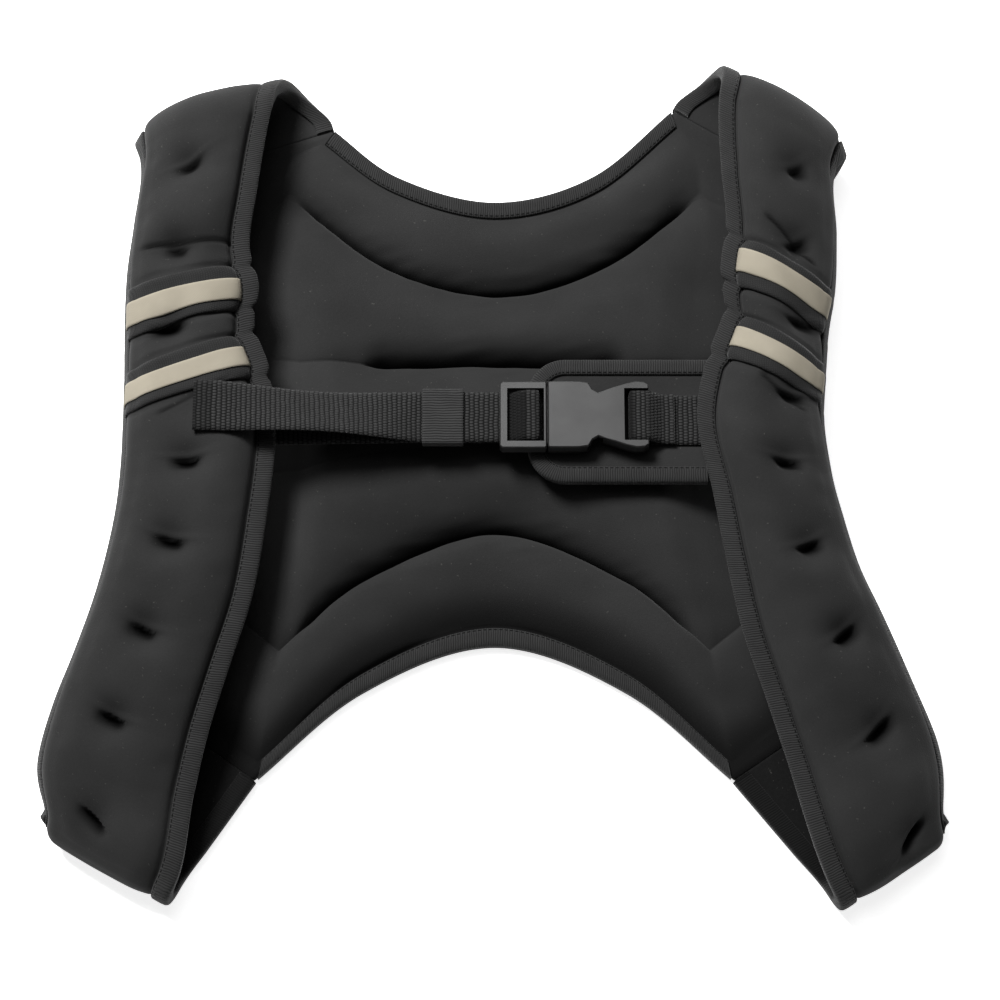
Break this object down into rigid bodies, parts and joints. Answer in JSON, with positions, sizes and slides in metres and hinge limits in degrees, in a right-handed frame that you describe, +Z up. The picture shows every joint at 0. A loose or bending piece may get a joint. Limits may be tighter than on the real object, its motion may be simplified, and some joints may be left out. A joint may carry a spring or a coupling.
{
  "type": "weighted vest",
  "caption": "Padded neoprene weighted vest lying on its back, with front pads folded over the shoulders, reflective stripes and a closed chest buckle.",
  "frame": {"origin": "bottom centre of the whole vest as it lies on its back", "axes": "+X across the vest, to the right in the view from above; +Y towards the neck; +Z up from the surface that the back lies on"},
  "size_m": [0.4424, 0.4274, 0.0591],
  "materials": {
    "neoprene": "matt knit face over neoprene foam",
    "binding": "ribbed edge tape",
    "webbing": "ribbed woven webbing",
    "elastic": "fine ribbed elastic",
    "reflective_tape": "satin reflective tape",
    "buckle_plastic": "satin moulded plastic"
  },
  "bodies": {
    "root": {"back_panel": "neoprene", "front_pad_left": "neoprene", "front_pad_right": "neoprene", "side_wing_left": "neoprene", "side_wing_right": "neoprene", "buckle_flap": "neoprene", "neck_binding": "binding", "hem_binding": "binding", "inner_binding_left": "binding", "inner_binding_right": "binding", "outer_binding_left": "binding", "outer_binding_right": "binding", "armhole_binding_left": "binding", "armhole_binding_right": "binding", "flap_binding": "binding", "adjusting_strap": "webbing", "buckle_strap": "webbing", "stripe_band_left_upper": "webbing", "stripe_band_left_lower": "webbing", "stripe_band_right_upper": "webbing", "stripe_band_right_lower": "webbing", "strap_keeper": "elastic", "reflective_tape_left_upper": "reflective_tape", "reflective_tape_left_lower": "reflective_tape", "reflective_tape_right_upper": "reflective_tape", "reflective_tape_right_lower": "reflective_tape", "buckle_male": "buckle_plastic", "buckle_female": "buckle_plastic"}
  },
  "joints": []
}
